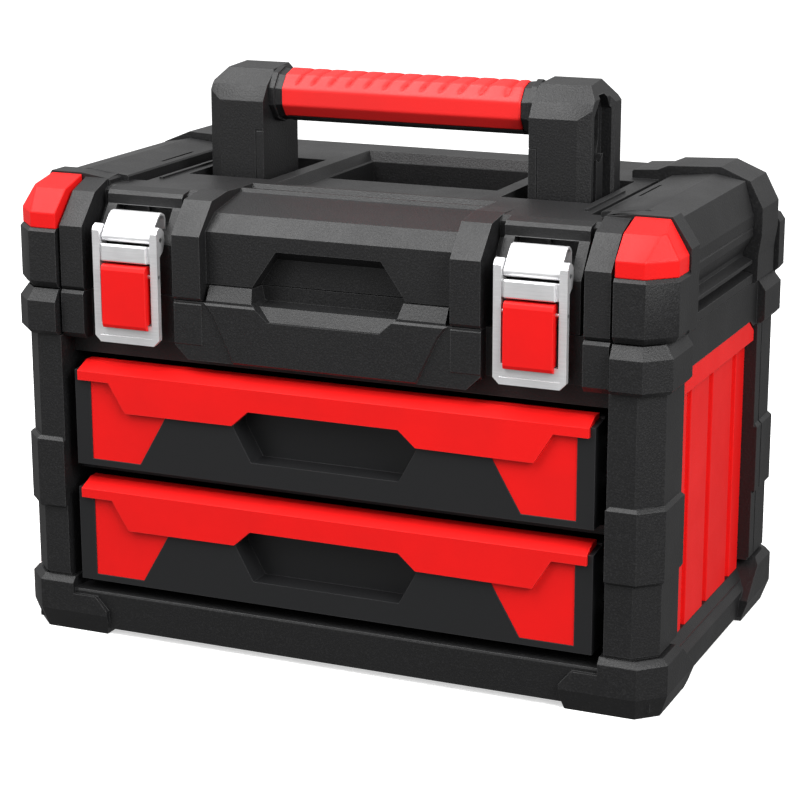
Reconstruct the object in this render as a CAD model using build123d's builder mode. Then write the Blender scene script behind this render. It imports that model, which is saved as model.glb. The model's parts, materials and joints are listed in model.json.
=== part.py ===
import os

from build123d import *

os.makedirs("parts", exist_ok=True)

# ---------------------------------------------------------------- driving sizes
# the box stands on z = 0, its front faces -Y and its right side faces +X
half_width = 215.0          # outer faces of the corner columns
half_depth = 128.0
corner_cut = 13.6           # leg of the 45 degree corner of each column
guard_half_width = 220.5    # feet, bands and lid guards stand proud of the columns
guard_half_depth = 132.0
wall = 4.0                  # moulded wall thickness
seat = 0.4                  # gap left between parts that move past each other

# heights
foot_top = 37.5
sill_top = 30.0
sill_bottom = 4.5
floor_top = 26.0
column_top = 200.0
tub_bottom = 187.0
rim = 229.8                 # top of the body, just under the lid
lid_bottom = 230.3
front_rim = 239.9           # the rim steps up behind the finger recess
tongue_top = 233.4          # lip of the body that enters the lid
deck = 293.0                # flat top of the lid
guard_top = 304.0           # rear guards of the lid
post_top = 361.5

# front opening and drawers
opening_half_width = 184.0
drawer_half_width = 176.0
drawer_bottoms = {"lower": 37.2, "upper": 115.6}
drawer_rear_y = 104.0
slide_half_length = 96.0
slide_height = 30.0

# hinge along the rear edge of the lid
hinge_y = 128.0
hinge_z = 230.0
hinge_radius = 4.0
hinge_pin_radius = 2.0
hinge_relief = 4.6          # hollow that the turning knuckles need
running_clearance = 0.05

# latches
latch_x = 135.0             # middle of each latch
latch_pivot_y = -123.4
latch_pivot_z = 266.5
lever_pivot_y = -126.7
lever_pivot_z = 243.5
latch_pin_radius = 1.5
lever_pin_radius = 1.2

# handle
post_inner = 92.0
post_outer = 132.0
post_front = -20.0
post_rear = 31.0
grip_y = 6.0
grip_z = 343.0
grip_radius = 17.5


def prism(plane, points, amount, mode=Mode.ADD):
    """Extrude a closed outline from its plane."""
    with BuildSketch(plane) as outline:
        with BuildLine():
            Polyline(*points, close=True)
        make_face()
    extrude(outline.sketch, amount=amount, mode=mode)


def along_x(points, x0, x1, mode=Mode.ADD):
    """Outline of (y, z) points, extruded from x0 to x1."""
    prism(Plane.YZ.offset(x0), points, x1 - x0, mode)


def along_y(points, y0, y1, mode=Mode.ADD):
    """Outline of (x, z) points, extruded from y0 to y1."""
    prism(Plane.XZ.offset(-y1), points, y1 - y0, mode)


def along_z(points, z0, z1, mode=Mode.ADD):
    """Outline of (x, y) points, extruded from z0 to z1."""
    prism(Plane.XY.offset(z0), points, z1 - z0, mode)


def block(x, y, z, mode=Mode.ADD):
    """Box between the pairs of limits x, y and z."""
    corners = [(x[0], y[0]), (x[1], y[0]), (x[1], y[1]), (x[0], y[1])]
    along_z(corners, z[0], z[1], mode)


def both_sides(points):
    """Outline given for x >= 0, completed with its mirror image."""
    return points + [(-x, v) for x, v in reversed(points) if x != 0]


def flip(points, sign):
    return [(sign * u, v) for u, v in points]


def span(a, b, sign):
    """Limits a and b, mirrored to the side that sign names."""
    return tuple(sorted((sign * a, sign * b)))


def plate(z, points):
    """Flat face of (x, y) points at height z."""
    with BuildSketch(Plane.XY.offset(z)) as outline:
        with BuildLine():
            Polyline(*points, close=True)
        make_face()
    return outline.sketch


def tapered(levels, mode=Mode.ADD):
    """Solid that passes through (z, outline) levels, one straight stage between each two."""
    for low, high in zip(levels, levels[1:]):
        loft(sections=[plate(*low), plate(*high)], ruled=True, mode=mode)


def guard_plan(signs, inner, end, outer, depth, cut, inset=0.0):
    """Plan of a guard round the corner that signs name, drawn smaller by inset on its outer faces."""
    sx, sy = signs
    o, d, c = outer - inset, depth - inset, cut - 0.586 * inset
    points = [(inner, d), (o - c, d), (o, d - c), (o, end), (inner, end)]
    return [(sx * x, sy * y) for x, y in points]


def save(builder, name):
    builder.part.label = name
    export_step(builder.part, f"parts/{name}.step")


sides = {"left": -1, "right": 1}
corners = {
    "front_left": (-1, -1), "front_right": (1, -1),
    "rear_left": (-1, 1), "rear_right": (1, 1),
}

# ---------------------------------------------------------------- base plinth with its four feet
foot_cut = 15.0
foot_half_depth = 130.0
foot_levels = [(0, 5.0), (14, 0), (33.5, 0), (foot_top, 3.4)]     # height and inset of the outline
foot_front_profile = [
    (159, 0), (156.5, 9), (156.5, 17), (164.5, 26.5), (181, 26.5), (181, foot_top),
    (guard_half_width, foot_top), (guard_half_width, 0),
]
foot_side_profile = [
    (-foot_half_depth, 0), (-foot_half_depth, foot_top), (-89, foot_top),
    (-60, 16), (-60, 4), (-64, 0),
]

with BuildPart() as foot_envelope:
    outlines = []
    for z, inset in foot_levels:
        quarter = guard_plan((1, 1), 0, 0, guard_half_width, foot_half_depth, foot_cut, inset)[1:3]
        right = quarter + [(x, -y) for x, y in reversed(quarter)]
        outlines.append((z, right + [(-x, y) for x, y in reversed(right)]))
    tapered(outlines)

with BuildPart() as base_plinth:
    for sx in (-1, 1):
        for sy in (-1, 1):
            along_y(flip(foot_front_profile, sx), *span(-foot_half_depth, -111.9, -sy))
            side_profile = [(-sy * y, z) for y, z in foot_side_profile]
            along_x(side_profile, *span(196, guard_half_width, sx))
    add(foot_envelope.part, mode=Mode.INTERSECT)
    block((-212, 212), (-122, 122), (sill_bottom, floor_top))
    # sills on the four sides
    for sy in (-1, 1):
        sill = [(-127, sill_top), (-127.6, 28.5), (-125.5, sill_bottom), (-110, sill_bottom), (-110, sill_top)]
        along_x([(-sy * y, z) for y, z in sill], -181, 181)
    for sx in (-1, 1):
        sill = [(207, 31), (215.5, 21), (214, sill_bottom), (196, sill_bottom), (196, 31)]
        along_y(flip(sill, sx), -92, 92)
    # underside: open cells between stiffening ribs
    with BuildSketch(Plane.XY.offset(sill_bottom - 1)):
        with GridLocations(80, 74, 5, 3):
            Rectangle(76, 70)
    extrude(amount=floor_top - wall - sill_bottom + 1, mode=Mode.SUBTRACT)
save(base_plinth, "base_plinth")

# ---------------------------------------------------------------- corner columns with proud mid pads
pad_proud = 2.2
pad_low, pad_high = 84.0, 132.0
front_arm = 16.0            # depth of the arm that faces the front
side_arm = 12.0
column_side_end = 80.0


def column_outline(grow):
    """L-shaped plan of one column in the +X +Y corner."""
    w, d, c = half_width + grow, half_depth + grow, corner_cut
    return [
        (opening_half_width, d), (w - c, d), (w, d - c), (w, column_side_end),
        (half_width - side_arm, column_side_end), (half_width - side_arm, half_depth - front_arm),
        (opening_half_width, half_depth - front_arm),
    ]


for place, (sx, sy) in corners.items():
    with BuildPart() as pad:
        along_z([(sx * x, sy * y) for x, y in column_outline(pad_proud)], pad_low, pad_high)
        chamfer(pad.faces().sort_by(Axis.Z)[0].edges() + pad.faces().sort_by(Axis.Z)[-1].edges(), 2.0)
    with BuildPart() as column:
        # a shadow groove runs round the foot of the column
        along_z([(sx * x, sy * y) for x, y in column_outline(-1.4)], foot_top, foot_top + 2)
        along_z([(sx * x, sy * y) for x, y in column_outline(0)], foot_top + 2, column_top)
        add(pad.part)
        if sy > 0:
            block(span(half_width - 1.6, half_width + 4, sx), (90, 92), (foot_top + 2, column_top), Mode.SUBTRACT)
    save(column, f"column_{place}")

# ---------------------------------------------------------------- side walls, red side panels, back panel, divider
side_wall_inner = 184.6
panel_face = 207.0
panel_back = 200.5
pleat_y = (-38.5, 8.2, 60.3)
pleat_width = 9.0
pleat_depth = 4.6
strip_face = 213.2
strip_outline = [(-78, 189), (-78, 196), (-66, 204), (66, 204), (78, 196), (78, 189)]

for side, sx in sides.items():
    with BuildPart() as side_wall:
        block(span(side_wall_inner, side_wall_inner + wall, sx), (-111.8, 111.8), (floor_top, tub_bottom))
        # stiffening ribs towards the outer panel
        for y in (-60, 0, 60):
            block(span(side_wall_inner + wall, panel_back, sx), (y - 1.5, y + 1.5), (sill_top + 1, tub_bottom))
    save(side_wall, f"side_wall_{side}")

    with BuildPart() as side_panel:
        block(span(panel_back, panel_face, sx), (-79.9, 79.9), (31, 186.5))
        # each pleat slopes inwards and ends at a step that faces the front
        for y in pleat_y:
            groove = [
                (panel_face + 1, y - pleat_width), (panel_face, y - pleat_width),
                (panel_face - pleat_depth, y - 1.2), (panel_face - pleat_depth, y), (panel_face, y + 0.6),
                (panel_face + 1, y + 0.6),
            ]
            along_z(flip(groove, sx), 31, 186.5, Mode.SUBTRACT)
        # thicker strip across the top, its upper corners sloped
        block(span(203.2, panel_face, sx), (-76, 76), (186.5, 199.7))
        block(span(panel_face - 1, panel_face, sx), (-79.9, 79.9), (186.5, 189))
        along_x(strip_outline, *span(panel_face - 1, strip_face, sx))
    save(side_panel, f"side_panel_{side}")

with BuildPart() as back_panel:
    back = both_sides([(180.8, sill_top), (180.8, foot_top + 0.2), (183.8, foot_top + 0.2), (183.8, tub_bottom)])
    along_y(back, 116, 120)
    for x in (-150, -90, -30, 30, 90, 150):
        rib = [(120, 40), (124, 44), (124, 173), (120, 177)]
        along_x(rib, x - 12, x + 12)
save(back_panel, "back_panel")

with BuildPart() as drawer_divider:
    block((-side_wall_inner, side_wall_inner), (-104, 111.8), (109.2, 112.2))
    block((-183.8, 183.8), (111.8, 115.9), (109.2, 112.2))
    block((-side_wall_inner, side_wall_inner), (-108, -104), (107.4, 113.6))
save(drawer_divider, "drawer_divider")

# ---------------------------------------------------------------- hinge knuckles, moulded on tub and lid
hinge_x = 120.0
knuckle_length = 16.0


def hinge_round(radius, x0, x1, mode=Mode.ADD):
    """Cylinder on the hinge axis."""
    with BuildSketch(Plane.YZ.offset(x0)) as ring:
        with Locations((hinge_y, hinge_z)):
            Circle(radius)
    extrude(ring.sketch, amount=x1 - x0, mode=mode)


def knuckle(x0, x1):
    hinge_round(hinge_radius, x0, x1)


def hinge_cut(x0, x1):
    hinge_round(hinge_relief, x0, x1, Mode.SUBTRACT)


def pin_hole(x0, x1):
    hinge_round(hinge_pin_radius + running_clearance, x0, x1, Mode.SUBTRACT)


# ---------------------------------------------------------------- upper tub
tub_front = -116.0
tub_rear = 124.0
tub_inner = (-97.0, 115.6)  # depth of the hollow
tub_inner_half = 208.0
upstand_half = 80.2
bulge_front = -124.5
inner_rib = (83.5, 102.9)
outer_rib = (167.2, 183.3)
recess_back = -105.6
recess_half_top = 35.1      # the finger recess is a hexagon that the seam cuts
recess_half_mid = 52.0
recess_half_low = 37.2
recess_top = 263.8
recess_low = 221.1

band_levels = [(200.5, 2.2), (203, 0), (222, 0), (rim - 0.3, 5.2)]     # height and inset of the corner guards
tub_pad_proud = 1.6

with BuildPart() as recess_lower:
    along_y(both_sides([(recess_half_low, recess_low), (49, 231.4), (recess_half_mid, 245)]), -140, recess_back)
    along_x([(-140, recess_low), (-123.2, recess_low), (-117.8, 229.2), (recess_back, 230.4),
             (recess_back, 245), (-140, 245)], -60, 60, Mode.INTERSECT)

with BuildPart() as tub_pad:
    along_y(both_sides([(62, 192.6), (76, 222), (82, rim)]), bulge_front - tub_pad_proud, bulge_front + 1)
    chamfer(tub_pad.faces().sort_by(Axis.Y)[0].edges(), 1.2)

with BuildPart() as upper_tub:
    block((-214, 214), (tub_front, tub_rear), (column_top, rim))
    block((-202.8, 202.8), (-111.8, 111.8), (tub_bottom, column_top))
    for sx in (-1, 1):
        for sy in (-1, 1):
            tapered([(z, guard_plan((sx, sy), 185.2, 80, guard_half_width - 1, guard_half_depth, 14, inset))
                     for z, inset in band_levels])
        # notch for the red strip of the side panel
        notch = [(1.005 * y, z + 0.3) for y, z in strip_outline]
        along_x(notch, *span(panel_face - 1.4, 216, sx), Mode.SUBTRACT)
    # central front bulge between the inner ribs, with bevelled lower corners
    lower_front = both_sides([(93.7, 192.3), (inner_rib[1], 201), (inner_rib[1], rim)])
    along_y(lower_front, bulge_front, -111.8)
    step = [(bulge_front, rim), (bulge_front, rim + 1.5), (-119.4, front_rim), (tub_inner[0], front_rim),
            (tub_inner[0], rim)]
    along_x(step, -upstand_half, upstand_half)
    add(tub_pad.part)
    for sx in (-1, 1):
        for low, high in ((inner_rib[0], inner_rib[1]), (outer_rib[0], outer_rib[1])):
            front = -125.0 if low < 100 else -127.0
            rib = [(tub_front, 199), (front + 3, 199), (front, 202.5), (front, rim - 2), (front + 1.6, rim),
                   (tub_front, rim)]
            along_x(rib, *span(low, high, sx))
    add(recess_lower.part, mode=Mode.SUBTRACT)
    # hollow for the tools
    block((-199, 199), (tub_inner[0], 108), (tub_bottom + wall, 207), Mode.SUBTRACT)
    block((-tub_inner_half, tub_inner_half), tub_inner, (206, 229), Mode.SUBTRACT)
    # lip round the rim, higher behind the step
    block((-tub_inner_half - 2.4, tub_inner_half + 2.4), (tub_inner[0] - 2.2, tub_inner[1] + 2.4), (226, tongue_top))
    block((-upstand_half, upstand_half), (tub_inner[0] - 2.2, tub_inner[0]), (rim, front_rim + 3.5))
    block((-tub_inner_half, tub_inner_half), tub_inner, (225, 260), Mode.SUBTRACT)
    # two outer knuckles of each hinge on webs of the rear wall
    for sx in (-1, 1):
        middle = sx * hinge_x
        hinge_cut(middle - knuckle_length / 2 - seat, middle + knuckle_length / 2 + seat)
        for x0 in (middle - 1.5 * knuckle_length - seat, middle + knuckle_length / 2 + seat):
            knuckle(x0, x0 + knuckle_length)
            web = [(tub_rear, 212), (hinge_y + hinge_radius, 222), (hinge_y + hinge_radius, hinge_z),
                   (tub_rear, hinge_z)]
            along_x(web, x0, x0 + knuckle_length)
        pin_hole(middle - 30, middle + 30)
save(upper_tub, "upper_tub")

# ---------------------------------------------------------------- lid shell
screw_radius = 2.4
bore_play = 0.08
screw_head_radius = 4.5
screw_head_height = 2.6
post_screws = [(sx * x, y) for sx in (-1, 1) for x in (101, 120) for y in (-8, 21)]


def screw_bores(z, depth):
    """Bores for the screws that hold the handle posts."""
    with BuildSketch(Plane.XY.offset(z)) as bores:
        with Locations(*post_screws):
            Circle(screw_radius + bore_play)
    extrude(bores.sketch, amount=depth, mode=Mode.SUBTRACT)


lid_front = -116.0
lid_rear = 124.0
rib_front = -126.0
lid_bulge_front = -117.5
pocket_x = (80.0, 139.0)
pocket_y = (-36.0, 50.0)
pocket_floor = 262.0
tray_half = 70.0
tray_y = (-48.0, 98.0)
shelf = 286.5               # front half of the tray is a shallow shelf
shelf_end = 18.0
tray_floor = 258.0
lid_wall = 4.0
bay_groove = 5.5            # grooves at both ends of each latch bay
cap_low = 268.4
cap_rear = -92.0
arch_rear = -76.0
rail_end = 59.0

rail_section = [
    (160, lid_bottom), (160, 296), (161, 297), (189.5, 300), (209, 296.4), (215.3, 275), (215.3, 268.2),
    (214.4, 267.4), (215.3, 266.6), (215.3, 262), (209, 251), (209, 248.5), (215.5, 246), (215.5, 244), (209, 243.5),
    (209, 238.5), (216, 237), (216, lid_bottom + 1.5), (214.5, lid_bottom),
]
rail_hollow = [
    (150, 220), (205, 220), (205, 254.5), (211, 264), (211, 274.5), (205.5, 292.2), (189.5, 295.6), (164, 292.6),
    (164, 284), (150, 284),
]
arch_section = [
    (165.5, lid_bottom), (165.5, 295.6), (167, 296.8), (186.5, 299.4), (208.5, 299.4), (guard_half_width, 281.5),
    (guard_half_width, lid_bottom + 2), (guard_half_width - 2, lid_bottom),
]
guard_section = [
    (133, lid_bottom), (133, 297.5), (134, 298.5), (150, 299.5), (157, 302.5), (192, guard_top), (211.5, 296),
    (guard_half_width, 279), (guard_half_width, 262), (218.5, 248), (218.5, lid_bottom + 2), (216.5, lid_bottom),
]
guard_rear_section = [
    (150, lid_bottom), (150, deck), (186, deck), (196, 290), (206, 281), (207, 268), (207, lid_bottom),
]
inner_rib_profile = [
    (-45, lid_bottom), (rib_front + 1.5, lid_bottom), (rib_front, lid_bottom + 2), (rib_front, 271), (-108, 290.5),
    (-87, deck + 0.6), (-70, deck), (-45, deck),
]
outer_rib_profile = inner_rib_profile[1:5] + [(-92, 296.6), (arch_rear, 298), (arch_rear, lid_bottom)]
bulge_profile = [
    (-48, front_rim + 0.5), (lid_bulge_front, front_rim + 0.5), (lid_bulge_front, 273.2), (-105, 283),
    (-70, 290.4), (-68.6, 292.6), (-66.4, 292.6), (-64, 289.8), (-54, 289.8), (-52, deck), (-48, deck),
]
latch_bay_profile = [
    (-45, lid_bottom), (lid_front, lid_bottom), (lid_front, 262), (-102.4, 281.5), (-101, 283), (-101, 289),
    (-99, 291.4), (-90, deck), (-45, deck),
]
bay_groove_profile = [
    (-45, lid_bottom), (-105, lid_bottom), (-105, 266), (-95, 280), (-95, 290), (-90, deck), (-45, deck),
]
cap_groove_profile = [(cap_rear, lid_bottom), (-121, lid_bottom), (-121, 268), (-104, 287), (cap_rear, 293)]
hook_pocket = [(-130, 262), (-113, 262), (-94, 272), (-94, 282.6), (-130, 282.6)]
corner_levels = [(lid_bottom, 2.6), (lid_bottom + 4, 0), (cap_low - 2, 0), (cap_low, 1.8)]
bar_levels = [(lid_bottom, 2.2), (lid_bottom + 3, 0), (263, 0), (268, 3)]

with BuildPart() as recess_upper:
    along_y(both_sides([(recess_half_mid, 236), (recess_half_mid, front_rim), (recess_half_top, recess_top)]),
            -140, recess_back)
    along_x([(-140, 230), (-140, recess_top), (-116, recess_top), (recess_back, 257), (recess_back, 230)],
            -60, 60, Mode.INTERSECT)

with BuildPart() as pocket_bosses:
    for sx in (-1, 1):
        block(span(pocket_x[0] - lid_wall, pocket_x[1] + lid_wall, sx),
              (pocket_y[0] - lid_wall, pocket_y[1] + lid_wall), (pocket_floor - lid_wall, deck))
    block((-tray_half - lid_wall, tray_half + lid_wall), (tray_y[0] - lid_wall, tray_y[1] + lid_wall),
          (shelf - lid_wall, deck))
    block((-tray_half, tray_half), (shelf_end - lid_wall, tray_y[1]), (tray_floor - lid_wall, deck))

with BuildPart() as lid_cavity:
    block((-205, 205), (-100, 119), (lid_bottom - 5, 262))
    along_y(rail_hollow, -73, 57)
    along_y(flip(rail_hollow, -1), -73, 57)
    # rebate that takes the lip of the body
    block((-211.2, 211.2), (-100, 119), (lid_bottom - 5, tongue_top + 0.8))
    block((-183, 183), (-88, 112), (261, 280.5))
    block((-183, 183), (-60, 112), (280, deck - 9))
    block((-146, 146), (-50, 112), (283, deck - lid_wall))
    add(pocket_bosses.part, mode=Mode.SUBTRACT)

with BuildPart() as lid_shell:
    # flat deck with the side rails
    block((-190, 190), (-50, lid_rear), (lid_bottom, deck))
    for sx in (-1, 1):
        along_y(flip(rail_section, sx), arch_rear - 2, rail_end)
        # ribs and latch bays of the front
        along_x(inner_rib_profile, *span(*inner_rib, sx))
        along_x(outer_rib_profile, *span(*outer_rib, sx))
        along_x(bay_groove_profile, *span(inner_rib[1], outer_rib[0], sx))
        along_x(latch_bay_profile, *span(inner_rib[1] + bay_groove, outer_rib[0] - bay_groove, sx))
        # corner blocks under the red caps, and the arch behind each cap
        along_x(cap_groove_profile, *span(outer_rib[1], 185.4, sx))
        tapered([(z, guard_plan((sx, -1), 185.4, -arch_rear, guard_half_width, 128.6, 15.6, inset))
                 for z, inset in corner_levels])
        along_y(flip(arch_section, sx), cap_rear, arch_rear)
        # rear guards, and the corner bars behind them
        along_y(flip(guard_section, sx), 62, 100)
        along_y(flip(guard_rear_section, sx), 58, lid_rear + 3)
        tapered([(z, guard_plan((sx, 1), 200, 106, guard_half_width, 128, 9, inset)) for z, inset in bar_levels])
    along_x(bulge_profile, -inner_rib[0], inner_rib[0])
    add(recess_upper.part, mode=Mode.SUBTRACT)
    add(lid_cavity.part, mode=Mode.SUBTRACT)
    # the front wall beside the stepped rim, and behind the finger recess above it
    for sx in (-1, 1):
        block(span(upstand_half + seat, inner_rib[0], sx), (-116, -100), (lid_bottom, front_rim + 1))
    block((-upstand_half, upstand_half), (recess_back, -100), (front_rim + 0.5, 262))
    # pockets for the handle posts, and the tray between them
    for sx in (-1, 1):
        block(span(*pocket_x, sx), pocket_y, (pocket_floor, 320), Mode.SUBTRACT)
    tray_edge = [(-tray_half, tray_y[0]), (tray_half, tray_y[0]), (tray_half, tray_y[1]), (-tray_half, tray_y[1])]
    tray_low = [(0.955 * x, y + 3 if y < 0 else y - 3) for x, y in tray_edge]
    tapered([(shelf, tray_low), (deck + 0.01, tray_edge)], Mode.SUBTRACT)
    block((-tray_half + 6, tray_half - 6), (shelf_end, tray_y[1] - 6), (tray_floor, 300), Mode.SUBTRACT)
    for sx in (-1, 1):
        # pocket behind each hook plate, open towards the front, with a small rib on its back
        along_x(hook_pocket, *span(latch_x - 20, latch_x + 20, sx), Mode.SUBTRACT)
        block(span(latch_x - 1, latch_x + 1, sx), (-97.5, -93), (268, 283))
        # channel beside each rail, a slot in the rail and a low strip beside the pocket
        block(span(151, 160, sx), (-70, 62), (deck - 5, 320), Mode.SUBTRACT)
        block(span(165, 167, sx), (-24, 20), (294.6, 320), Mode.SUBTRACT)
        block(span(144, 146.5, sx), (-62, 8), (deck - 1, deck + 1.6))
    screw_bores(pocket_floor - lid_wall - 1, lid_wall + 2)
    # middle knuckle of each hinge on a web of the rear wall
    for sx in (-1, 1):
        middle = sx * hinge_x
        for x0 in (middle - 1.5 * knuckle_length - 2 * seat, middle + knuckle_length / 2):
            hinge_cut(x0, x0 + knuckle_length + 2 * seat)
        knuckle(middle - knuckle_length / 2, middle + knuckle_length / 2)
        web = [(lid_rear, 248), (hinge_y + hinge_radius, 238), (hinge_y + hinge_radius, hinge_z), (lid_rear, hinge_z)]
        along_x(web, middle - knuckle_length / 2, middle + knuckle_length / 2)
        pin_hole(middle - 30, middle + 30)
save(lid_shell, "lid_shell")

# ---------------------------------------------------------------- red corner caps of the lid
cap_view_front = [(185.7, 260), (185.7, 305), (201, 305), (207.5, 298.6), (219.3, 278.5), (219.3, 260)]
cap_view_side = [(-127.2, 260), (-127.2, 278.5), (-113, 292), (cap_rear - 0.3, 298.4), (cap_rear - 0.3, 260)]
cap_view_corner = [(150, 260), (150, 305), (218, 305), (226.8, 292), (234, 278.5), (234, 260)]


def cap_form(sx, low, inset):
    """Cap cut by its front, side and corner views, drawn smaller by inset on the outer faces."""
    front = [(x - inset, z - inset) for x, z in cap_view_front]
    side = [(y + inset, z - inset) for y, z in cap_view_side]
    corner = [(t - inset, z - inset) for t, z in cap_view_corner]
    with BuildPart() as form:
        block(span(185.7 + inset, 219.3 - inset, sx), (-127.2 + inset, cap_rear - 0.3 - inset), (low, 300))
        along_y(flip(front, sx), -140, -80, Mode.INTERSECT)
        along_x(side, -240, 240, Mode.INTERSECT)
        prism(Plane((0, 0, 0), x_dir=(sx, -1, 0), z_dir=(-1, -sx, 0)).offset(-200), corner, 400, Mode.INTERSECT)
    return form.part


for side, sx in sides.items():
    with BuildPart() as corner_cap:
        add(cap_form(sx, cap_low, 0))
        add(cap_form(sx, cap_low - 1, 2.5), mode=Mode.SUBTRACT)
    save(corner_cap, f"corner_cap_{side}")

# ---------------------------------------------------------------- hinge pins
for side, sx in sides.items():
    middle = sx * hinge_x
    with BuildPart() as hinge_pin:
        hinge_round(hinge_pin_radius, middle - 1.5 * knuckle_length - seat, middle + 1.5 * knuckle_length + seat)
    save(hinge_pin, f"hinge_pin_{side}")

# ---------------------------------------------------------------- handle posts and grip
post_flange = 135.0         # rear edge of each post flares outwards
post_side_profile = [
    (post_front, pocket_floor), (post_front, 340.5), (-13.5, 350), (-1.5, 359.8), (22, post_top),
    (post_rear, 351), (post_rear, pocket_floor),
]
post_front_profile = [
    (post_inner, pocket_floor), (post_inner, 358), (95, 365), (122, 365), (post_flange, 348), (post_flange, pocket_floor),
]
post_plan = [
    (post_inner, post_front), (123.5, post_front), (post_outer, -16), (post_outer, 17), (post_flange, 20),
    (post_flange, post_rear), (post_inner, post_rear),
]
channel = [(-12, pocket_floor - 1), (-12, 342), (0, 354), (10, 354), (18, 344), (18, pocket_floor - 1)]

for side, sx in sides.items():
    with BuildPart() as handle_post:
        along_z(flip(post_plan, sx), pocket_floor, 366)
        along_x(post_side_profile, *span(post_inner, post_flange, sx), Mode.INTERSECT)
        along_y(flip(post_front_profile, sx), -40, 60, Mode.INTERSECT)
        # channel down the outer face, with a rib in it and a deeper lens above the rib
        along_x(channel, *span(post_outer - 6, post_flange + 1, sx), Mode.SUBTRACT)
        along_x([(-2, pocket_floor), (-2, 322), (3, 326), (10, 322), (10, pocket_floor)],
                *span(post_outer - 7, post_outer - 1.5, sx))
        with BuildSketch(Plane.YZ.offset(sx * (post_outer - 10))) as lens:
            with Locations((3, 332)):
                Ellipse(11, 20)
        extrude(lens.sketch, amount=sx * 14, mode=Mode.SUBTRACT)
        # fine groove beside the inner edge of the front face
        block(span(97.2, 98, sx), (post_front - 1, post_front + 0.7), (pocket_floor, 322), Mode.SUBTRACT)
        block(span(post_inner - 1, 98, sx), (post_front - 1, post_front + 0.7), (321.2, 322), Mode.SUBTRACT)
        screw_bores(pocket_floor - 1, 24)
    save(handle_post, f"handle_post_{side}")

# screws that hold the posts, driven up from inside the lid
with BuildPart() as handle_screws:
    head_low = pocket_floor - lid_wall - screw_head_height
    with BuildSketch(Plane.XY.offset(head_low)):
        with Locations(*post_screws):
            Circle(screw_head_radius)
    extrude(amount=screw_head_height)
    with BuildSketch(Plane.XY.offset(head_low)):
        with Locations(*post_screws):
            Circle(screw_radius)
    extrude(amount=screw_head_height + lid_wall + 22)
    # cross slots
    for x, y in post_screws:
        block((x - 2.6, x + 2.6), (y - 0.5, y + 0.5), (head_low - 1, head_low + 1.4), Mode.SUBTRACT)
        block((x - 0.5, x + 0.5), (y - 2.6, y + 2.6), (head_low - 1, head_low + 1.4), Mode.SUBTRACT)
save(handle_screws, "handle_screws")

grip_half = post_inner
sleeve_low = 12.6           # the sleeve is open below this depth under the grip axis
with BuildPart() as grip_core:
    with BuildSketch(Plane.YZ.offset(-grip_half)):
        with Locations((grip_y, grip_z)):
            RegularPolygon(grip_radius - 3.2, 10, rotation=18)
    extrude(amount=2 * grip_half)
    # keel that closes the open underside of the sleeve
    with BuildSketch(Plane.YZ.offset(-grip_half + 9.5)):
        with Locations((grip_y, grip_z)):
            RegularPolygon(grip_radius - 0.3, 10, rotation=18)
        with Locations((grip_y, grip_z - sleeve_low + 19.7)):
            Rectangle(60, 40, mode=Mode.SUBTRACT)
    extrude(amount=2 * grip_half - 19)
    # collars against the posts: a disc and a cone
    for sx in (-1, 1):
        with BuildSketch(Plane.YZ.offset(sx * grip_half)) as disc:
            with Locations((grip_y, grip_z)):
                RegularPolygon(grip_radius + 0.9, 10, rotation=18)
        extrude(disc.sketch, amount=-sx * 4)
        with BuildSketch(Plane.YZ.offset(sx * (grip_half - 4))):
            with Locations((grip_y, grip_z)):
                RegularPolygon(grip_radius - 0.4, 10, rotation=18)
        with BuildSketch(Plane.YZ.offset(sx * (grip_half - 9))):
            with Locations((grip_y, grip_z)):
                RegularPolygon(grip_radius - 1, 10, rotation=18)
        loft(ruled=True)
save(grip_core, "grip_core")

with BuildPart() as grip_sleeve:
    with BuildSketch(Plane.YZ.offset(-grip_half + 9.2)):
        with Locations((grip_y, grip_z)):
            RegularPolygon(grip_radius, 10, rotation=18)
            RegularPolygon(grip_radius - 3.2, 10, rotation=18, mode=Mode.SUBTRACT)
        with Locations((grip_y, grip_z - sleeve_low - 20)):
            Rectangle(60, 40, mode=Mode.SUBTRACT)
    extrude(amount=2 * grip_half - 18.4)
save(grip_sleeve, "grip_sleeve")

# ---------------------------------------------------------------- latches
frame_half = 23.0
window_half = 18.0
window_low = 212.0
frame_top = 274.4
frame_bottom = 199.2
frame_front = -128.6
frame_back = -124.9
lever_half = 15.6
hook_half = 17.5
hook_leaf = [
    (-124.4, 267.6), (-125.6, 268.7), (-116, 279.4), (-113.6, 280.9), (-110.6, 281.2), (-107.6, 279.6), (-106.4, 277),
    (-106, 270.2), (-107.4, 270.2), (-107.8, 276.6), (-108.8, 278.6), (-111, 279.7), (-113.2, 279.4), (-114.8, 278.4),
]
ear_view = [
    (-128.6, 256), (-128.6, 270.6), (-127, 273.2), (-124.4, frame_top), (-121.4, 273.4), (-118.8, 270.6),
    (-118.4, 265), (-120.6, 259), (-124.9, 256),
]
lever_view = [
    (-128.9, 208.8), (-131.3, 209.6), (-132, 211.6), (-132, 246.4), (-131.2, 248.6), (-129.6, 249.8), (-125.2, 249.8),
    (-124.2, 248.6), (-124.2, 238), (-125.2, 236), (-125.2, 213.2), (-128.9, 212.4),
]
catch_view = [(-125.4, 236), (-122, 233), (-119.8, 229), (-119.8, 223), (-121.5, 222), (-125.4, 224)]
keeper_view = [
    (tub_front, 210), (-117.6, 210), (-117.6, 217), (-119.2, 219), (-119.2, 221), (-117.6, 221), (-117.6, 227),
    (tub_front, 227),
]


def rod(y, z, radius, x0, x1, mode=Mode.ADD):
    """Round bar or bore along X."""
    with BuildSketch(Plane.YZ.offset(x0)) as circle:
        with Locations((y, z)):
            Circle(radius)
    extrude(circle.sketch, amount=x1 - x0, mode=mode)


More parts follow.
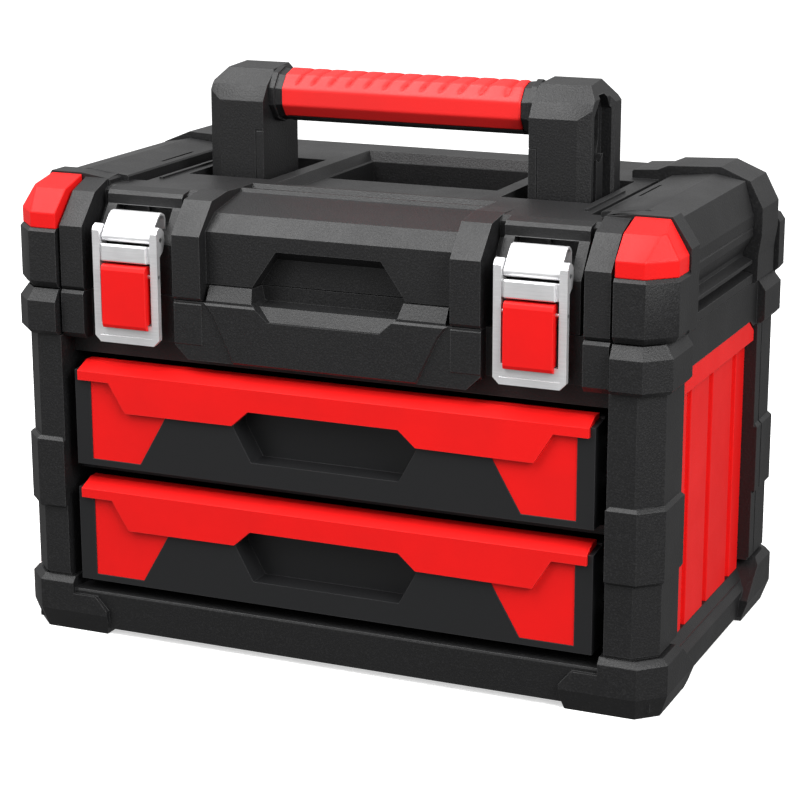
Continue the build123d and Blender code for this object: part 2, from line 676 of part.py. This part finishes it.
for side, sx in sides.items():
    middle = sx * latch_x

    with BuildPart() as hook_plate:
        # bent plate over the lid edge, curled round the pivot pin
        along_x(hook_leaf, middle - hook_half, middle + hook_half)
        rod(latch_pivot_y, latch_pivot_z, 3.15, middle - hook_half, middle + hook_half)
        rod(latch_pivot_y, latch_pivot_z, latch_pin_radius + running_clearance, middle - 20, middle + 20, Mode.SUBTRACT)
    save(hook_plate, f"latch_hook_plate_{side}")

    with BuildPart() as latch_frame:
        outline = [
            (middle - frame_half, 262), (middle - frame_half, frame_bottom + 4),
            (middle - frame_half + 4, frame_bottom), (middle + frame_half - 4, frame_bottom),
            (middle + frame_half, frame_bottom + 4), (middle + frame_half, 262),
        ]
        along_y(outline, frame_front, frame_back)
        block((middle - window_half, middle + window_half), (-140, -110), (window_low, 300), Mode.SUBTRACT)
        for ear in (-1, 1):
            along_x(ear_view, middle + ear * 20.5 - 2.5, middle + ear * 20.5 + 2.5)
        # fold across the lower plate
        along_x([(-129, 203.4), (-128, 204), (-129, 204.6)], middle - 19, middle + 19, Mode.SUBTRACT)
        rod(latch_pivot_y, latch_pivot_z, latch_pin_radius, middle - 30, middle + 30, Mode.SUBTRACT)
        rod(lever_pivot_y, lever_pivot_z, lever_pin_radius, middle - 30, middle + 30, Mode.SUBTRACT)
    save(latch_frame, f"latch_frame_{side}")

    with BuildPart() as latch_pin:
        rod(latch_pivot_y, latch_pivot_z, latch_pin_radius, middle - frame_half, middle + frame_half)
    save(latch_pin, f"latch_pin_{side}")

    with BuildPart() as latch_bridge:
        block((middle - window_half, middle + window_half), (-127.5, frame_back), (251.5, 262))
        block((middle - 16, middle + 16), (-130.4, -127.5), (251.5, 262.5))
        chamfer(latch_bridge.faces().sort_by(Axis.Y)[0].edges(), 0.8)
    save(latch_bridge, f"latch_bridge_{side}")

    with BuildPart() as latch_lever:
        along_x(lever_view, middle - lever_half, middle + lever_half)
        # catch that reaches behind the frame, just short of the keeper
        along_x(catch_view, middle - 8, middle + 8)
        rod(lever_pivot_y, lever_pivot_z, lever_pin_radius + running_clearance, middle - 30, middle + 30, Mode.SUBTRACT)
    save(latch_lever, f"latch_lever_{side}")

    with BuildPart() as lever_pin:
        rod(lever_pivot_y, lever_pivot_z, lever_pin_radius, middle - frame_half, middle + frame_half)
    save(lever_pin, f"lever_pin_{side}")

    with BuildPart() as keeper:
        along_x(keeper_view, middle - 12, middle + 12)
    save(keeper, f"latch_keeper_{side}")

# ---------------------------------------------------------------- drawers and their slides
trim_front = -128.6
trim_seat = -123.6
panel_surface = -125.4
tray_half_width = 171.8
tray_wall = 2.5

rail_gap = 1.5              # ball race between nested members
rail_sheet = 1.2


def rail(x_web, x_open, z_middle, height, y0, y1, sign):
    """Channel section: web at x_web, flanges reaching to x_open."""
    top, bottom = z_middle + height / 2, z_middle - height / 2
    inner_web = x_web + (rail_sheet if x_open > x_web else -rail_sheet)
    channel = [
        (x_web, bottom), (x_open, bottom), (x_open, bottom + rail_sheet), (inner_web, bottom + rail_sheet),
        (inner_web, top - rail_sheet), (x_open, top - rail_sheet), (x_open, top), (x_web, top),
    ]
    along_y(flip(channel, sign), y0, y1)


for level, bottom in drawer_bottoms.items():
    trim_outline = both_sides([
        (50.9, bottom + 48.1), (62.3, bottom + 38.0), (110.5, bottom + 37.5), (129.8, bottom + 4.2),
        (164.7, bottom + 4.2), (164.7, bottom + 56.5), (172.6, bottom + 56.5), (172.6, bottom + 62.6),
    ])

    with BuildPart() as drawer_trim:
        along_y(trim_outline, panel_surface, trim_seat)
        # proud band across the top, its lower edge stepping down beside the finger recess
        band = both_sides([
            (50.9, bottom + 48.1), (62.3, bottom + 38.0), (138.4, bottom + 37.5),
            (150.4, bottom + 56.5), (172.6, bottom + 56.5), (172.6, bottom + 62.6),
        ])
        along_y(band, trim_front, panel_surface)
        crest = [
            (trim_front, bottom + 62.6), (-117, bottom + 67.6), (-110, bottom + 67.6), (-110, bottom + 64.5),
            (trim_seat, bottom + 62.6),
        ]
        along_x(crest, -172.6, 172.6)
    save(drawer_trim, f"drawer_trim_{level}")

    with BuildPart() as drawer_front:
        profile = [
            (-126, bottom), (-126, bottom + 62.6), (trim_seat, bottom + 62.6), (-110, bottom + 64.5),
            (-110, bottom + 65.5), (-106, bottom + 65.5), (-106, bottom),
        ]
        along_x(profile, -drawer_half_width, drawer_half_width)
        along_y(trim_outline, -140, trim_seat, Mode.SUBTRACT)
        # finger recess behind the lower edge of the red band
        pull = both_sides([(50.3, bottom + 14.7), (62.0, bottom + 36), (62.0, bottom + 58)])
        along_y(pull, -140, -109, Mode.SUBTRACT)
        with BuildSketch(Plane.XZ.offset(105)) as bores:
            with Locations(*[(x, bottom + z) for x in (-150, -80, 80, 150) for z in (14, 52)]):
                Circle(1.8 + bore_play)
        extrude(bores.sketch, amount=12.5, mode=Mode.SUBTRACT)
    save(drawer_front, f"drawer_front_{level}")

    with BuildPart() as drawer_tray:
        block((-tray_half_width, tray_half_width), (-106, drawer_rear_y), (bottom + 2.5, bottom + 62))
        block((-tray_half_width + tray_wall, tray_half_width - tray_wall), (-106 + tray_wall, drawer_rear_y - tray_wall),
              (bottom + 5, bottom + 70), Mode.SUBTRACT)
        with BuildSketch(Plane.XZ.offset(100)) as bores:
            with Locations(*[(x, bottom + z) for x in (-150, -80, 80, 150) for z in (14, 52)]):
                Circle(1.8 + bore_play)
        extrude(bores.sketch, amount=8, mode=Mode.SUBTRACT)
    save(drawer_tray, f"drawer_tray_{level}")

    # screws from inside the tray into the front
    front_screws = [(x, bottom + z) for x in (-150, -80, 80, 150) for z in (14, 52)]
    with BuildPart() as drawer_screws:
        for x, z in front_screws:
            with BuildSketch(Plane.XZ.offset(106 - tray_wall)) as head:
                with Locations((x, z)):
                    Circle(3.6)
            extrude(head.sketch, amount=-2)
            with BuildSketch(Plane.XZ.offset(106 - tray_wall - 2)) as shank:
                with Locations((x, z)):
                    Circle(1.8)
            extrude(shank.sketch, amount=tray_wall + 12)
    save(drawer_screws, f"drawer_screws_{level}")

    rail_z = bottom + 34
    for side, sx in sides.items():
        with BuildPart() as fixed_rail:
            rail(184.6, 176, rail_z, slide_height, -slide_half_length, slide_half_length, sx)
        save(fixed_rail, f"slide_fixed_{level}_{side}")
        with BuildPart() as middle_rail:
            rail(182.6, 175, rail_z, slide_height - 2 * (rail_sheet + rail_gap),
                 -slide_half_length, slide_half_length, sx)
        save(middle_rail, f"slide_middle_{level}_{side}")
        with BuildPart() as drawer_rail:
            rail(171.8, 179.5, rail_z, slide_height - 4 * (rail_sheet + rail_gap),
                 -slide_half_length, slide_half_length, sx)
        save(drawer_rail, f"slide_drawer_{level}_{side}")
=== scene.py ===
import json
import math

import bpy
import numpy as np
from mathutils import Matrix, Vector


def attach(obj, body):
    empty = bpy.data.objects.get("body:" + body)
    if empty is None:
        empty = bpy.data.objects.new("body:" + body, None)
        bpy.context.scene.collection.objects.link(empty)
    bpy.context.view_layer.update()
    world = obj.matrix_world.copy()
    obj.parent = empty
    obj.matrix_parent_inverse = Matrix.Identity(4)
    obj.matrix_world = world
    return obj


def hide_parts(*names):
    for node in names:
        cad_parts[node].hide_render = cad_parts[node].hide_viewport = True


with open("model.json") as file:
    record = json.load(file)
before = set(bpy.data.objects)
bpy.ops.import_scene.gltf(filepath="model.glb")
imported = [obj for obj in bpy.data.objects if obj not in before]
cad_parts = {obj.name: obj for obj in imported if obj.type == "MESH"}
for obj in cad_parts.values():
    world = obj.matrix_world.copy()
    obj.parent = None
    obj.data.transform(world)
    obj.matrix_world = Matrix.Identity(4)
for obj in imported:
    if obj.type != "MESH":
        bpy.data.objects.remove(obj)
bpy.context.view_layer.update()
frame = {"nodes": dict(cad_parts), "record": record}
nodes = frame["nodes"]
print("frame loaded:", len(nodes), "nodes")

cameraLook = {
    "azimuth": 23.76,        # degrees round the box, from its front towards its right side
    "elevation": 15.06,
    "roll": -0.1,
    "distance": 1.562,
    "target": (-0.004, 0.0, 0.1449),
    "lens": 106.1,
    "sensor": 36.0,
    "clip": (0.05, 100.0),
}
studioLook = {
    "below": 0.25,           # brightness of the surround under the horizon
    "above": 0.72,           # and overhead
    "fade": (-0.25, 0.45),   # heights on a sphere of radius 1 between which it changes
    "floorSize": 40.0,
    "floorColour": (0.90, 0.90, 0.90, 1.0),
    "floorGlow": 0.55,       # keeps the floor white far from the lamps
    "floorRoughness": 0.9,
    "floorSpecular": 0.1,
    "lights": [
        # name, position, aimed at, width, height, power
        ("overhead", (-0.50, -0.50, 1.68), (0.0, -0.05, 0.25), 1.5, 1.1, 33.0),
        ("frontLeft", (-1.35, -1.50, 1.45), (0.0, 0.0, 0.2), 0.9, 1.3, 14.0),
        ("rightSide", (1.55, -0.85, 1.20), (0.1, 0.0, 0.2), 0.9, 1.2, 34.0),
    ],
}


def aimed(position, target, roll=0.0):       # matrix of a thing at position whose -Z points at target
    position, target = Vector(position), Vector(target)
    turn = (target - position).to_track_quat("-Z", "Y").to_matrix().to_4x4()
    return Matrix.Translation(position) @ turn @ Matrix.Rotation(math.radians(roll), 4, "Z")


def addCamera(look):
    azimuth, elevation = math.radians(look["azimuth"]), math.radians(look["elevation"])
    target = Vector(look["target"])
    back = Vector((
        math.sin(azimuth) * math.cos(elevation),
        -math.cos(azimuth) * math.cos(elevation),
        math.sin(elevation),
    ))
    data = bpy.data.cameras.new("camera")
    data.lens, data.sensor_width = look["lens"], look["sensor"]
    data.clip_start, data.clip_end = look["clip"]
    camera = bpy.data.objects.new("camera", data)
    bpy.context.scene.collection.objects.link(camera)
    camera.matrix_world = aimed(target + back * look["distance"], target, look["roll"])
    bpy.context.scene.camera = camera


def addSurround(look):                       # soft white surround, dimmer below the horizon
    world = bpy.data.worlds.new("studio")
    world.use_nodes = True
    tree = world.node_tree
    place = tree.nodes.new("ShaderNodeTexCoord")
    axes = tree.nodes.new("ShaderNodeSeparateXYZ")
    height = tree.nodes.new("ShaderNodeMapRange")
    height.interpolation_type = "SMOOTHSTEP"
    for key, number in zip("1234", (*look["fade"], look["below"], look["above"])):
        height.inputs[int(key)].default_value = number
    tree.links.new(place.outputs["Generated"], axes.inputs[0])
    tree.links.new(axes.outputs["Z"], height.inputs[0])
    tree.links.new(height.outputs[0], tree.nodes["Background"].inputs["Strength"])
    tree.nodes["Background"].inputs["Color"].default_value = (1.0, 1.0, 1.0, 1.0)
    bpy.context.scene.world = world


def addFloor(look):
    half = look["floorSize"] / 2
    corners = [(-half, -half, 0), (half, -half, 0), (half, half, 0), (-half, half, 0)]
    mesh = bpy.data.meshes.new("floor")
    mesh.from_pydata(corners, [], [(0, 1, 2, 3)])
    floor = bpy.data.objects.new("floor", mesh)
    bpy.context.scene.collection.objects.link(floor)
    paint = bpy.data.materials.new("floorPaint")
    paint.use_nodes = True
    shader = paint.node_tree.nodes["Principled BSDF"]
    shader.inputs["Base Color"].default_value = look["floorColour"]
    shader.inputs["Roughness"].default_value = look["floorRoughness"]
    shader.inputs["Specular IOR Level"].default_value = look["floorSpecular"]
    shader.inputs["Emission Color"].default_value = (1.0, 1.0, 1.0, 1.0)
    shader.inputs["Emission Strength"].default_value = look["floorGlow"]
    mesh.materials.append(paint)
    # The floor is seen, but the box is neither lit by it nor mirrors it.
    floor.visible_diffuse = floor.visible_glossy = floor.visible_shadow = False


def addLights(look):
    for name, position, target, width, height, power in look["lights"]:
        lamp = bpy.data.lights.new(name, "AREA")
        lamp.shape, lamp.size, lamp.size_y, lamp.energy = "RECTANGLE", width, height, power
        light = bpy.data.objects.new(name, lamp)
        bpy.context.scene.collection.objects.link(light)
        light.matrix_world = aimed(position, target)


bpy.context.scene.view_settings.view_transform = "Standard"
addCamera(cameraLook)
addSurround(studioLook)
addFloor(studioLook)
addLights(studioLook)
print("camera and studio ready")

# Each plastic's edge colour is painted along its edges: partly wear, partly a painted highlight for the
# light that rounded edges catch.
finishes = {
    "blackPlastic": {
        "colour": (0.0078, 0.0078, 0.0082), "edge": (0.062, 0.062, 0.063), "roughness": 0.46, "spread": 0.10,
        "grain": 850, "height": 0.00016, "speckle": 0.70, "specular": 0.40,
    },
    "fasciaPlastic": {
        "colour": (0.0105, 0.0108, 0.0116), "edge": (0.045, 0.045, 0.047), "roughness": 0.40, "spread": 0.06,
        "grain": 1500, "height": 0.00003, "speckle": 0.15, "specular": 0.42,
    },
    "trayPlastic": {
        "colour": (0.0090, 0.0090, 0.0094), "edge": (0.03, 0.03, 0.03), "roughness": 0.55, "spread": 0.08,
        "grain": 900, "height": 0.00006, "speckle": 0.3, "specular": 0.40,
    },
    "redPlastic": {
        "colour": (0.78, 0.0085, 0.0080), "edge": (0.88, 0.040, 0.036), "roughness": 0.42, "spread": 0.08,
        "grain": 1100, "height": 0.00004, "speckle": 0.06, "specular": 0.20,
    },
    "gripRubber": {
        "colour": (0.76, 0.013, 0.012), "edge": (0.90, 0.060, 0.050), "roughness": 0.48, "spread": 0.08,
        "grain": 1300, "height": 0.00005, "speckle": 0.08, "specular": 0.42,
    },
}
metals = {
    "latchSteel": {
        "colour": (0.86, 0.86, 0.87), "metallic": 0.7, "roughness": 0.38, "spread": 0.10,
        "brush": (60, 60, 900),
    },
    "railSteel": {
        "colour": (0.52, 0.53, 0.54), "metallic": 1.0, "roughness": 0.38, "spread": 0.12,
        "brush": (900, 30, 900),
    },
    "zincSteel": {
        "colour": (0.62, 0.63, 0.64), "metallic": 1.0, "roughness": 0.35, "spread": 0.12,
        "brush": (500, 500, 500),
    },
}


class NodeSheet:                             # lays down and links the nodes of one material

    def __init__(self, name):
        self.material = bpy.data.materials.new(name)
        self.material.use_nodes = True
        self.tree = self.material.node_tree
        self.shader = self.tree.nodes["Principled BSDF"]

    def add(self, kind, settings=None, **values):
        node = self.tree.nodes.new("ShaderNode" + kind)
        for key, value in (settings or {}).items():
            setattr(node, key, value)
        for key, value in values.items():
            self.put(node, key.replace("_", " "), value)
        return node

    def put(self, node, key, value):
        socket = node.inputs[int(key)] if key.isdigit() else node.inputs[key]
        if hasattr(value, "is_output"):
            self.tree.links.new(value, socket)
        else:
            socket.default_value = value

    def math(self, operation, a, b):
        node = self.add("Math", {"operation": operation})
        self.put(node, "0", a)
        self.put(node, "1", b)
        return node.outputs[0]

    def mix(self, factor, a, b):
        node = self.add("Mix", {"data_type": "RGBA"})
        self.put(node, "0", factor)
        self.put(node, "6", a)
        self.put(node, "7", b)
        return node.outputs[2]

    def ranged(self, value, fromLow, fromHigh, toLow, toHigh):
        node = self.add("MapRange", {"clamp": True})
        for key, number in zip("01234", (value, fromLow, fromHigh, toLow, toHigh)):
            self.put(node, key, number)
        return node.outputs[0]


# Settings of the edge mask: the plastics use it to paint their edges lighter, as wear and as a painted
# highlight; the steel uses it for wear.
edgeWearAndHighlight = {"samples": 6, "starts": 0.985, "full": 0.80}     # cosines of the lean


# How far the rounded normal leans away from the true one: 1 on an edge, 0 on a flat.
def edgeMask(sheet, radius):
    rounded = sheet.add("Bevel", {"samples": edgeWearAndHighlight["samples"]}, Radius=radius)
    true = sheet.add("NewGeometry")
    dot = sheet.add("VectorMath", {"operation": "DOT_PRODUCT"})
    sheet.put(dot, "0", rounded.outputs[0])
    sheet.put(dot, "1", true.outputs["Normal"])
    return sheet.ranged(dot.outputs["Value"], edgeWearAndHighlight["starts"], edgeWearAndHighlight["full"], 0.0, 1.0)


def opaque(colour):
    return (*colour, 1.0)


plasticSurface = {
    "pebbleScale": 0.9,      # of the grain's scale
    "cloudScale": 22.0,      # broad patches of sheen and shade
    "cloudShade": 0.35,      # the most that a cloud darkens
    # width of the band where edges are painted lighter, as wear and as a painted highlight
    "wearAndHighlightRadius": 0.0009,
    "speckFactor": 1.9,      # a speck is the ground's colour times this
    "speckLift": 0.006,      # plus this
    "darker": 0.8,
    "grainShare": 0.7,
    "pebbleShare": 0.5,
}


# Moulded plastic: fine pebbled grain, cloudy sheen and edges painted a little lighter, partly as wear and
# partly as a painted highlight.
def mouldedPlastic(name, look):
    surface = plasticSurface
    sheet = NodeSheet(name)
    place = sheet.add("TexCoord").outputs["Object"]
    grain = sheet.add("TexNoise", Vector=place, Scale=look["grain"], Detail=2.0, Roughness=0.6).outputs[0]
    pebbles = look["grain"] * surface["pebbleScale"]
    pebble = sheet.add("TexVoronoi", Vector=place, Scale=pebbles).outputs["Distance"]
    clouds = surface["cloudScale"]
    cloud = sheet.add("TexNoise", Vector=place, Scale=clouds, Detail=3.0, Roughness=0.55).outputs[0]
    edge = edgeMask(sheet, surface["wearAndHighlightRadius"])
    # Where the edges get the painted highlight and wear, thinned out in patches by the clouds.
    edgeHighlightAndWear = sheet.math("MULTIPLY", edge, sheet.ranged(cloud, 0.3, 0.7, 0.35, 1.0))
    speck = sheet.ranged(grain, 0.50, 0.72, 0.0, look["speckle"])
    factor, lift = surface["speckFactor"], surface["speckLift"]
    lighter = tuple(min(1.0, value * factor + lift) for value in look["colour"])
    darker = tuple(value * surface["darker"] for value in look["colour"])
    ground = sheet.mix(speck, opaque(look["colour"]), opaque(lighter))
    shaded = sheet.ranged(cloud, 0.35, 0.65, 0.0, surface["cloudShade"])
    shade = sheet.mix(shaded, ground, opaque(darker))
    sheet.put(sheet.shader, "Base Color", sheet.mix(edgeHighlightAndWear, shade, opaque(look["edge"])))
    low, high = look["roughness"] - look["spread"] / 2, look["roughness"] + look["spread"] / 2
    sheen = sheet.ranged(cloud, 0.3, 0.7, low, high)
    rough = sheet.math("ADD", sheen, sheet.ranged(grain, 0.4, 0.7, 0.0, look["spread"]))
    sheet.put(sheet.shader, "Roughness", rough)
    sheet.shader.inputs["Specular IOR Level"].default_value = look["specular"]
    fine = sheet.math("MULTIPLY", grain, surface["grainShare"])
    relief = sheet.math("ADD", fine, sheet.math("MULTIPLY", pebble, surface["pebbleShare"]))
    bump = sheet.add("Bump", Height=relief, Strength=1.0, Distance=look["height"])
    sheet.put(sheet.shader, "Normal", bump.outputs[0])
    return sheet.material


steelSurface = {
    "smudgeScale": 60.0,
    "wearAndHighlightRadius": 0.0006,
    "wearShare": 0.6,
    "wearColour": (0.93, 0.93, 0.93),
    "darker": 0.82,
    "streakHeight": 0.00002,
}


# Plated sheet steel: brushed streaks, faint smudges, brighter worn edges.
def platedSteel(name, look):
    surface = steelSurface
    sheet = NodeSheet(name)
    place = sheet.add("TexCoord").outputs["Object"]
    stretched = sheet.add("Mapping", Vector=place, Scale=look["brush"]).outputs[0]
    streak = sheet.add("TexNoise", Vector=stretched, Scale=1.0, Detail=3.0, Roughness=0.6).outputs[0]
    smudges = surface["smudgeScale"]
    smudge = sheet.add("TexNoise", Vector=place, Scale=smudges, Detail=3.0, Roughness=0.6).outputs[0]
    worn = sheet.math("MULTIPLY", edgeMask(sheet, surface["wearAndHighlightRadius"]), surface["wearShare"])
    darker = opaque(tuple(value * surface["darker"] for value in look["colour"]))
    metal = sheet.mix(sheet.ranged(streak, 0.3, 0.7, 0.0, 0.6), opaque(look["colour"]), darker)
    sheet.put(sheet.shader, "Base Color", sheet.mix(worn, metal, opaque(surface["wearColour"])))
    sheet.shader.inputs["Metallic"].default_value = look["metallic"]
    sheen = sheet.ranged(smudge, 0.35, 0.65, look["roughness"], look["roughness"] + look["spread"])
    rough = sheet.math("ADD", sheen, sheet.ranged(streak, 0.3, 0.7, -0.03, 0.05))
    sheet.put(sheet.shader, "Roughness", rough)
    bump = sheet.add("Bump", Height=streak, Strength=0.6, Distance=surface["streakHeight"])
    sheet.put(sheet.shader, "Normal", bump.outputs[0])
    return sheet.material


materials = {name: mouldedPlastic(name, look) for name, look in finishes.items()}
materials.update({name: platedSteel(name, look) for name, look in metals.items()})
slotFinish = {
    "black_plastic": "blackPlastic", "fascia_plastic": "fasciaPlastic", "tray_plastic": "trayPlastic",
    "red_plastic": "redPlastic", "grip_rubber": "gripRubber", "latch_steel": "latchSteel",
    "rail_steel": "railSteel", "zinc_steel": "zincSteel",
}
for part in frame["record"]["subparts"]:
    mesh = nodes[part["node"]].data
    mesh.materials.clear()
    mesh.materials.append(materials[slotFinish[part["material_slot"]]])
print("finishes laid on", len(nodes), "nodes")

rounding = {
    "widths": {"blackPlastic": 0.0008, "fasciaPlastic": 0.0007, "redPlastic": 0.0007, "latchSteel": 0.0005},
    "segments": 2,
    "sharpFrom": 25.0,       # degrees between two faces
    "flatTo": 0.6,
    "weldWithin": 0.00002,
}


# Rounds the sharp edges of a CAD node: triangles are welded, flats joined, then edges bevelled.
def soften(obj, width, look):
    weld = obj.modifiers.new("weld", "WELD")
    weld.merge_threshold = look["weldWithin"]
    flats = obj.modifiers.new("flats", "DECIMATE")
    flats.decimate_type, flats.angle_limit = "DISSOLVE", math.radians(look["flatTo"])
    bevel = obj.modifiers.new("bevel", "BEVEL")
    bevel.width, bevel.segments = width, look["segments"]
    bevel.limit_method, bevel.angle_limit = "ANGLE", math.radians(look["sharpFrom"])


for part in frame["record"]["subparts"]:
    finish = slotFinish[part["material_slot"]]
    if finish in rounding["widths"]:
        soften(nodes[part["node"]], rounding["widths"][finish], rounding)
print("edges softened")

gripSleeve = {
    "halfLength": 0.0828,    # along x
    "axis": (0.006, 0.343),  # y and z of the handle's axis
    "radius": 0.0175,
    "facets": 10,            # long flats round the sleeve
    "cornerCut": 0.992,      # of the radius, where the corners between them end
    "wall": 0.0032,
    "openFrom": -47.5,       # degrees, from the back over the top (90) to the front (180)
    "openTo": 227.5,
    "grooves": 12,
    "groovePitch": 0.0129,
    "grooveWidth": 0.0009,
    "grooveDepth": 0.0016,
    "grooveLean": 0.011,     # how far a groove runs sideways on its way down
    "grooveFrom": 62.0,
    "grooveTo": 152.0,
    "grooveFade": 6.0,       # degrees over which a groove runs out at both ends
    "grooveBow": 1.4,        # more than 1 bows it
    "endRound": 0.001,       # length and drop of the rounded ends
    "endDrop": 0.0008,
    "endMargin": 0.0025,     # no groove's grid lines come nearer to an end
    "endStraight": 6,        # power that keeps the grid lines upright at the ends
}


# The point at (x, angle) is (x, y0 + r cos angle, z0 + r sin angle). r is the distance to the flat of a
# regular polygon, no more than cornerCut of its corner radius, less a bell-shaped groove round each groove
# line, less a small round-off at both ends. All grid lines lean with the grooves, except at the ends.
def sleeveGrid(look):
    half, radius = look["halfLength"], look["radius"]
    start = -look["groovePitch"] * (look["grooves"] - 1) / 2 + look["grooveLean"] / 2
    centres = start + look["groovePitch"] * np.arange(look["grooves"])
    # grid lines beside each groove line, at the ends, and round each corner
    across = np.array([-0.0035, -0.0012, -0.0008, -0.0004, 0.0, 0.0004, 0.0008, 0.0012, 0.0035])
    along = (centres[:, None] + across).ravel()
    ends = np.array([half, half - 0.0003, half - 0.0006, half - 0.001, half - 0.002])
    along = np.concatenate([along[np.abs(along) < half - look["endMargin"]], ends, -ends])
    facet = 360.0 / look["facets"]
    steps = np.array([-1.6, 0.0, 1.6, 5.0, 9.0, 13.0, 18.0, 23.0, 27.0, 31.0])
    corners = 90.0 + facet * np.arange(-5, 6)
    angles = np.append((corners[:, None] + steps).ravel(), [look["openFrom"], look["openTo"]])
    angles = np.unique(angles[(angles >= look["openFrom"]) & (angles <= look["openTo"])].round(3))
    x, angle = np.meshgrid(np.unique(along.round(6)), angles, indexing="ij")
    down = np.clip((angle - look["grooveFrom"]) / (look["grooveTo"] - look["grooveFrom"]), 0.0, 1.0)
    gap = np.abs(x[:, :, None] - centres).min(axis=2)
    shown = np.clip((angle - look["grooveFrom"]) / look["grooveFade"], 0.0, 1.0)
    shown = shown * np.clip((look["grooveTo"] - angle) / look["grooveFade"], 0.0, 1.0)
    flat = np.radians((angle - 90.0) % facet - facet / 2)
    r = np.minimum(radius * math.cos(math.radians(facet / 2)) / np.cos(flat), look["cornerCut"] * radius)
    r = r - look["grooveDepth"] * shown * np.exp(-(gap / look["grooveWidth"]) ** 2)
    ending = np.clip((np.abs(x) - half + look["endRound"]) / look["endRound"], 0.0, 1.0)
    r = r - look["endDrop"] * ending ** 2
    lean = look["grooveLean"] * down ** look["grooveBow"]
    x = x - lean * (1.0 - (np.abs(x) / half) ** look["endStraight"])
    turn = np.radians(angle)
    y0, z0 = look["axis"]
    return np.stack([x, y0 + r * np.cos(turn), z0 + r * np.sin(turn)], axis=-1)


def gridMesh(name, grid):                    # one quad between each four neighbours of the grid
    rows, columns = grid.shape[:2]
    index = np.arange(rows * columns).reshape(rows, columns)
    quads = np.stack([index[:-1, :-1], index[:-1, 1:], index[1:, 1:], index[1:, :-1]], axis=-1)
    mesh = bpy.data.meshes.new(name)
    mesh.from_pydata(grid.reshape(-1, 3).tolist(), [], quads.reshape(-1, 4).tolist())
    mesh.polygons.foreach_set("use_smooth", np.ones(len(mesh.polygons), dtype=bool))
    mesh.update()
    return mesh


def addSleeve(look):
    sleeve = bpy.data.objects.new("gripSleeve", gridMesh("gripSleeve", sleeveGrid(look)))
    bpy.context.scene.collection.objects.link(sleeve)
    wall = sleeve.modifiers.new("wall", "SOLIDIFY")
    wall.thickness, wall.offset = look["wall"], -1.0
    sleeve.data.materials.append(materials["gripRubber"])
    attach(sleeve, "lid")
    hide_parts("grip_sleeve")


addSleeve(gripSleeve)
print("grip sleeve made")
